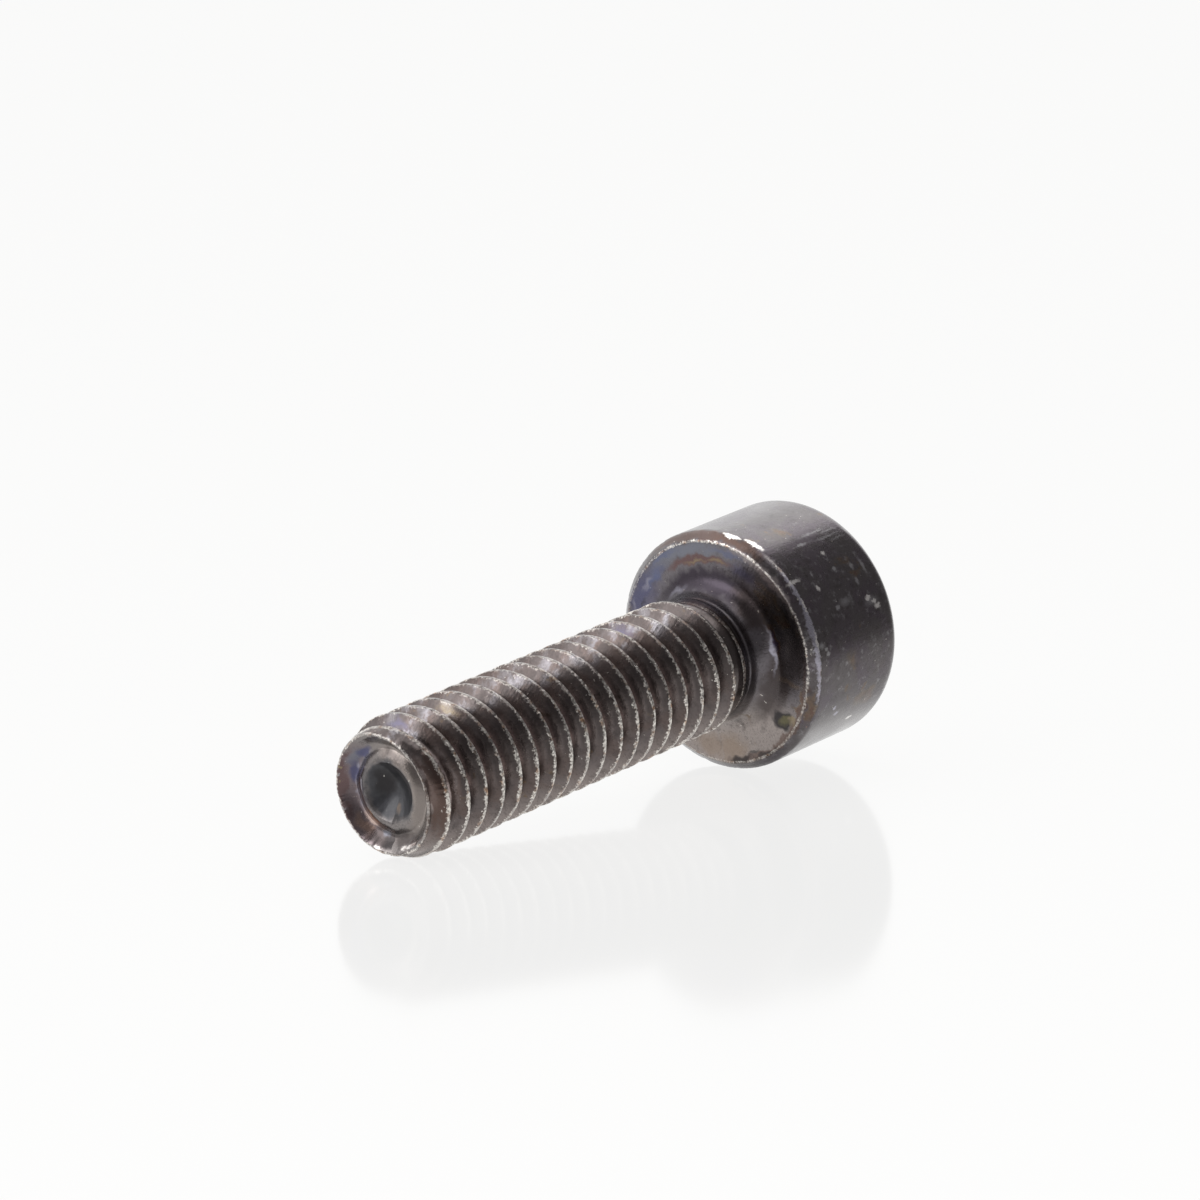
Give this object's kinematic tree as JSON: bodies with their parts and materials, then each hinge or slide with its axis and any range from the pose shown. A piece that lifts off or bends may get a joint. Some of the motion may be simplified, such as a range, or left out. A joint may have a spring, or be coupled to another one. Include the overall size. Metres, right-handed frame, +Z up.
{
  "type": "hexagon socket head cap screw",
  "caption": "Steel cap screw with a round head, a hexagon socket for a key and a right-hand thread up to its head, dark oxide finish.",
  "frame": {"origin": "on the floor, under the middle of the screw's length as it lies", "axes": "+Z up, +X along the lying screw from head to tip; the screw's own axis lies in the XZ plane and drops 6.305 degrees towards the tip"},
  "size_m": [0.0184, 0.0068, 0.0072],
  "materials": {
    "black_oxide_steel": "dark oxide with temper colours, semi-gloss, worn bright on crests and rims"
  },
  "bodies": {
    "root": {"screw": "black_oxide_steel"}
  },
  "joints": []
}
